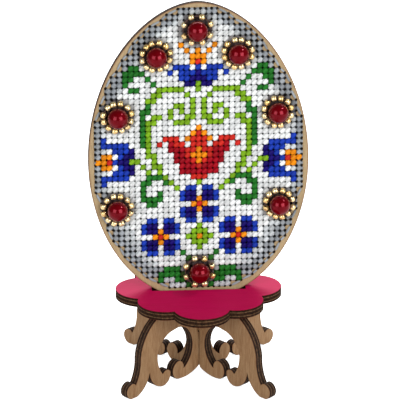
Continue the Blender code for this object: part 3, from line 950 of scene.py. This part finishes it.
def edge_stitches():
    """Straight stitches that round off the stepped border: slants of up to two rows, the rest upright."""
    found = []
    for (c0, r0), (c1, r1) in zip(edge_corners(), edge_corners()[1:]):
        narrow_first = c0 < c1
        slant = min(r1 - r0, 2.0) if c0 != c1 else 0.0
        upright = [(r0 + k) if narrow_first else (r0 + slant + k) for k in range(round(r1 - r0 - slant))]
        column = min(c0, c1)
        found += [(column, row, column, row + 1) for row in upright]
        if slant:
            found.append((c0, r1 - slant, c1, r1) if narrow_first else (c0, r0, c1, r0 + slant))
    half = edge_corners()[0][0]
    found += [(half - k - 1, -35.5, half - k, -35.5) for k in range(round(half))]
    return found


def make_stitches(cells):
    """Every crossed stitch and edge stitch on the front, and the bars on the back."""
    look = floss_material()
    by_node = {}
    for place, (node, colour) in sorted(cells.items()):
        by_node.setdefault(node, []).append((place, colour))
    edging = {}
    for c0, r0, c1, r1 in edge_stitches():
        for side in (-1, 1):
            node = border_node(side * c0, (r0 + r1) / 2)
            ends = (side * c0 * PITCH, -r0 * PITCH, side * c1 * PITCH, -r1 * PITCH)
            edging.setdefault(node, []).append(ends)
    half = PITCH / 2
    for node, members in by_node.items():
        legs = [leg(*ends, UNDER_LIFT, "grey", 1.0, EDGE_WIDTH) for ends in edging.get(node, [])]
        for (column, row), colour in members:
            x, z = column * PITCH, -row * PITCH
            keep = pearl_shade(x, z)
            legs.append(leg(x - half, z + half, x + half, z - half, UNDER_LIFT, colour, keep))
            legs.append(leg(x - half, z - half, x + half, z + half, OVER_LIFT, colour, keep, OVER_WIDTH))
        count = math.ceil(len(legs) / MOST_LEGS)
        for k in range(count):
            name = node + "_floss" + ("_%d" % (k + 1) if count > 1 else "")
            share = legs[k * len(legs) // count:(k + 1) * len(legs) // count]
            mesh = tubes(name, share, OPEN_LEG if "border" in node else FULL_LEG, 8, -1)
            add_piece(name, mesh, look, "egg", FLOSS_SLOTS[node.split("_")[0]], [node], EGG_FRAME)
    legs = []
    for (column, row), (node, colour) in sorted(cells.items()):
        z = -row * PITCH
        for side in (-1, 1):
            x = column * PITCH + side * (half - BACK_SPREAD)
            legs.append(leg(x, z - half, x, z + half, BACK_LIFT, colour))
    mesh = tubes("reverse_floss", legs, BACK_LEG, 6, 1)
    add_piece("reverse_floss", mesh, look, "egg", "reverse_floss", ["reverse_stitches"], EGG_FRAME)


# ================================================================ beads


def pearl_mesh(name):
    """A pearl with its string hole along x."""
    start = math.asin(PEARL_BORE / PEARL_RADIUS)
    steps = 36
    profile = [(PEARL_BORE, -0.5 * PEARL_RADIUS), (PEARL_BORE, 0.5 * PEARL_RADIUS)]
    for k in range(steps + 1):
        angle = start + (math.pi - 2 * start) * k / steps
        profile.append((PEARL_RADIUS * math.sin(angle), PEARL_RADIUS * math.cos(angle)))
    verts, faces = turned(profile, 64)
    mesh = bpy.data.meshes.new(name)
    mesh.from_pydata(verts, [], faces)
    mesh.shade_smooth()
    return mesh


def seed_bead(radius, steps=13, turns=20):
    """Vertices, faces and end values (0 round the waist, 1 in the hole) of a seed bead strung along x."""
    half_length, bore = BEAD_LENGTH_SHARE * radius, BEAD_HOLE_SHARE * radius
    profile, ends = [], []
    for k in range(steps + 1):
        angle = math.pi * k / steps
        swell = max(math.sin(angle), 0.0) ** 0.7
        profile.append((bore + (radius - bore) * swell, half_length * math.cos(angle)))
        ends.append(1 - swell)
    return *turned(profile, turns), ends * turns


def make_ring(place, x, z, look):
    """Seed beads strung in a ring that lies flat on the stitches, each a little its own way."""
    points, faces, chances, ends = [], [], [], []
    count = SPARSE_RINGS.get(place, RING_BEADS)
    for k in range(count):
        angle = 2 * math.pi * (k + 0.5) / count + rng.normal(0, BEAD_TURN_CHANCE)
        radius = BEAD_RADIUS * rng.uniform(*BEAD_SIZE_CHANCE)
        verts, quads, bead_ends = seed_bead(radius)
        out = RING_RADIUS + rng.normal(0, BEAD_OUT_CHANCE)
        up = BEAD_OUT + rng.uniform(0, BEAD_UP_CHANCE)
        roll, tilt = rng.normal(0, BEAD_ROLL_CHANCE), rng.normal(0, BEAD_TILT_CHANCE)
        place_on = (
            Matrix.Rotation(-angle, 4, "Y")
            @ Matrix.Translation((out, -up, 0))
            @ Matrix.Rotation(roll, 4, "X")
            @ Matrix.Rotation(math.pi / 2 + tilt, 4, "Y")
        )
        base = len(points)
        points += [place_on @ Vector(v) for v in verts]
        faces += [tuple(base + i for i in face) for face in quads]
        chances += [rng.uniform()] * len(verts)
        ends += bead_ends
    name = "seed_beads_" + place
    mesh = bpy.data.meshes.new(name)
    mesh.from_pydata([tuple(p) for p in points], [], faces)
    mesh.shade_smooth()
    for label, values in (("chance", chances), ("end", ends)):
        mesh.attributes.new(label, "FLOAT", "POINT").data.foreach_set("value", np.array(values, np.float32))
    at = EGG_FRAME @ Matrix.Translation((x, 0, z))
    add_piece(name, mesh, look, "egg", "gold_bead", ["bead_ring_" + place], at)


def make_beads():
    """Each pearl with its ring of seed beads and their thread."""
    pearl_look = pearl_material()
    bead_look = gold_bead_material()
    thread_look = thread_material()
    turns = [2 * math.pi * k / 48 for k in range(49)]
    ring = [Vector((RING_RADIUS * math.cos(a), -BEAD_OUT, RING_RADIUS * math.sin(a))) for a in turns]
    for place, (column, row) in PEARL_PLACES.items():
        x, z = column * PITCH, -row * PITCH
        at = EGG_FRAME @ Matrix.Translation((x, -PEARL_OUT, z))
        mesh = pearl_mesh("red_pearl_" + place)
        add_piece("red_pearl_" + place, mesh, pearl_look, "egg", "red_pearl", ["pearl_" + place], at)
        make_ring(place, x, z, bead_look)
        mesh = bent_thread("bead_thread_" + place, ring, BEAD_THREAD_RADIUS)
        at = EGG_FRAME @ Matrix.Translation((x, 0, z))
        add_piece("bead_thread_" + place, mesh, thread_look, "egg", "gold_bead", [], at)


# ================================================================ studio


def towards(azimuth, elevation, distance):
    """A place at that bearing from the aim; azimuth 0 is in front of the object."""
    a, e = math.radians(azimuth), math.radians(elevation)
    return AIM + distance * Vector((math.sin(a) * math.cos(e), -math.cos(a) * math.cos(e), math.sin(e)))


def add_aimed(name, data, place):
    """Puts a light or a camera in the scene, turned to the aim."""
    thing = bpy.data.objects.new(name, data)
    thing.location = place
    thing.rotation_euler = (AIM - place).to_track_quat("-Z", "Y").to_euler()
    bpy.context.scene.collection.objects.link(thing)
    return thing


def make_camera():
    """The camera, which the scene renders from."""
    data = bpy.data.cameras.new("camera")
    data.lens = CAMERA_LENS
    data.sensor_width = 36.0
    data.clip_start = 0.05
    data.clip_end = 50.0
    place = towards(CAMERA_AZIMUTH, CAMERA_ELEVATION, CAMERA_DISTANCE)
    bpy.context.scene.camera = add_aimed("camera", data, place)


def make_floor():
    """A pale floor, which glows to the camera so that it looks as plain as the sky."""
    mesh = bpy.data.meshes.new("floor")
    sides = ((-1, -1), (1, -1), (1, 1), (-1, 1))
    corners = [(x * FLOOR_REACH, y * FLOOR_REACH, FLOOR_LEVEL) for x, y in sides]
    mesh.from_pydata(corners, [], [(0, 1, 2, 3)])
    floor = bpy.data.objects.new("floor", mesh)
    bpy.context.scene.collection.objects.link(floor)
    m = Nodes("floor")
    m.set(base_color=(0.85, 0.85, 0.85, 1.0), roughness=0.9, specular_ior_level=0.1)
    seen = m.add("LightPath").outputs["Is Camera Ray"]
    m.set(emission_color=(1.0, 1.0, 1.0, 1.0), emission_strength=m.math("MULTIPLY", seen, FLOOR_GLOW))
    mesh.materials.append(m.material)


def make_lights():
    """Two softboxes in front, a small one that lights the pearls' sides and one behind."""
    for name, azimuth, elevation, distance, size, power in LIGHTS:
        data = bpy.data.lights.new(name, "AREA")
        data.shape = "RECTANGLE"
        data.size, data.size_y = size
        data.energy = power
        add_aimed(name, data, towards(azimuth, elevation, distance))


def make_world():
    """A white sky that lights less than it looks."""
    world = bpy.data.worlds.new("studio")
    world.use_nodes = True
    tree = world.node_tree
    seen = tree.nodes.new("ShaderNodeLightPath")
    level = tree.nodes.new("ShaderNodeMapRange")
    level.inputs["To Min"].default_value = WORLD_LIGHT
    level.inputs["To Max"].default_value = WORLD_SEEN
    tree.links.new(seen.outputs["Is Camera Ray"], level.inputs["Value"])
    tree.links.new(level.outputs["Result"], tree.nodes["Background"].inputs["Strength"])
    tree.nodes["Background"].inputs["Color"].default_value = (1, 1, 1, 1)
    bpy.context.scene.world = world
    bpy.context.scene.view_settings.view_transform = "Standard"


def make_studio():
    make_camera()
    make_floor()
    make_lights()
    make_world()


# ================================================================ assembly


def main():
    make_studio()
    make_plate()
    make_legs()
    cells = chart_cells()
    make_board(cells)
    make_stitches(cells)
    make_beads()


main()
